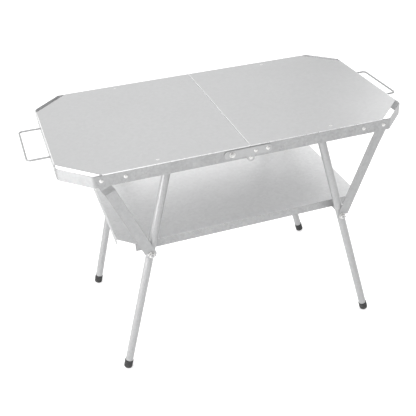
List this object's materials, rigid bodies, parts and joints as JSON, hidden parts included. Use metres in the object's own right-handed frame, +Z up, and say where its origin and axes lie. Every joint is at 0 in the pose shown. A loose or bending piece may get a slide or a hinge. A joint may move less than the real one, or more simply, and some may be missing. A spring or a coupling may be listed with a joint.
{
  "type": "camp kitchen table",
  "caption": "Folding sheet-metal camp kitchen table: a hinged two-part top with open cut corners and pull-out wire handles, splayed tube legs with bar braces, and a loose lower shelf.",
  "frame": {"origin": "on the floor under the middle of the whole table, with both handles as they stand at rest", "axes": "+X along the table to its right-hand end, +Y to the back, +Z up"},
  "size_m": [1.334, 0.6968, 0.838],
  "materials": {
    "top_sheet": "satin galvanised sheet, softly mottled",
    "shelf_sheet": "satin galvanised sheet",
    "strip_steel": "satin galvanised bar",
    "bracket_steel": "pressed galvanised steel",
    "leg_tube": "bright zinc-plated tube",
    "brace_steel": "satin zinc-plated flat bar",
    "hinge_steel": "satin zinc-plated plate",
    "wire_steel": "bright zinc-plated wire and rod",
    "zinc_fastener": "dull zinc plating",
    "foot_rubber": "matt black rubber"
  },
  "bodies": {
    "top_left": {"brace_rivets_left": "zinc_fastener", "bracket_rivets_left": "zinc_fastener", "corner_strip_back_left": "strip_steel", "corner_strip_front_left": "strip_steel", "hinge_leaf_back": "hinge_steel", "hinge_leaf_front": "hinge_steel", "hinge_pins": "zinc_fastener", "leaf_rivets": "zinc_fastener", "leg_bracket_back_left": "bracket_steel", "leg_bracket_front_left": "bracket_steel", "leg_pins_left": "zinc_fastener", "lock_bolts": "zinc_fastener", "lock_nuts": "zinc_fastener", "lock_washers": "zinc_fastener", "strip_rivets_left": "zinc_fastener", "top_left": "top_sheet"},
    "top_right": {"brace_rivets_right": "zinc_fastener", "bracket_rivets_right": "zinc_fastener", "corner_strip_back_right": "strip_steel", "corner_strip_front_right": "strip_steel", "hinge_plate_back": "hinge_steel", "hinge_plate_front": "hinge_steel", "leg_bracket_back_right": "bracket_steel", "leg_bracket_front_right": "bracket_steel", "leg_pins_right": "zinc_fastener", "plate_rivets": "zinc_fastener", "strip_rivets_right": "zinc_fastener", "top_right": "top_sheet"},
    "legs_left": {"cross_rod_left": "wire_steel", "foot_back_left": "foot_rubber", "foot_front_left": "foot_rubber", "leg_back_left": "leg_tube", "leg_front_left": "leg_tube", "rod_nuts_left": "zinc_fastener", "rod_washers_left": "zinc_fastener"},
    "legs_right": {"cross_rod_right": "wire_steel", "foot_back_right": "foot_rubber", "foot_front_right": "foot_rubber", "leg_back_right": "leg_tube", "leg_front_right": "leg_tube", "rod_nuts_right": "zinc_fastener", "rod_washers_right": "zinc_fastener"},
    "braces_left": {"brace_back_left": "brace_steel", "brace_front_left": "brace_steel"},
    "braces_right": {"brace_back_right": "brace_steel", "brace_front_right": "brace_steel"},
    "shelf": {"shelf": "shelf_sheet"},
    "handle_left": {"handle_left": "wire_steel", "handle_stops_left": "zinc_fastener"},
    "handle_right": {"handle_right": "wire_steel", "handle_stops_right": "zinc_fastener"}
  },
  "joints": [
    {"name": "top_fold", "type": "hinge", "parent": "top_left", "child": "top_right", "pos_m": [0.009, 0, 0.797], "axis": [0, 1, 0], "range_deg": [0, 172]},
    {"name": "leg_fold_left", "type": "hinge", "parent": "top_left", "child": "legs_left", "pos_m": [-0.246, 0, 0.816], "axis": [0, 1, 0], "range_deg": [0, 66.3]},
    {"name": "leg_fold_right", "type": "hinge", "parent": "top_right", "child": "legs_right", "pos_m": [0.264, 0, 0.816], "axis": [0, -1, 0], "range_deg": [0, 66.3]},
    {"name": "brace_swing_left", "type": "hinge", "parent": "top_left", "child": "braces_left", "pos_m": [-0.471, 0, 0.8175], "axis": [0, -1, 0], "range_deg": [0, 66]},
    {"name": "brace_swing_right", "type": "hinge", "parent": "top_right", "child": "braces_right", "pos_m": [0.489, 0, 0.8175], "axis": [0, 1, 0], "range_deg": [0, 66]},
    {"name": "shelf_lift_out", "type": "slide", "parent": "top_left", "child": "shelf", "axis": [-0.9823, 0, 0.1874], "range_m": [0, 1.582]},
    {"name": "handle_slide_left", "type": "slide", "parent": "top_left", "child": "handle_left", "axis": [-1, 0, 0], "range_m": [-0.058, 0]},
    {"name": "handle_slide_right", "type": "slide", "parent": "top_right", "child": "handle_right", "axis": [1, 0, 0], "range_m": [-0.04, 0.018]}
  ],
  "couplings": [
    {"joint": "leg_fold_left", "follows": "top_fold", "ratio": 0.38546},
    {"joint": "leg_fold_right", "follows": "top_fold", "ratio": 0.38546},
    {"joint": "brace_swing_left", "follows": "top_fold", "ratio": 0.38372},
    {"joint": "brace_swing_right", "follows": "top_fold", "ratio": 0.38372},
    {"joint": "shelf_lift_out", "follows": "top_fold", "m_per_rad": 0.52698}
  ]
}
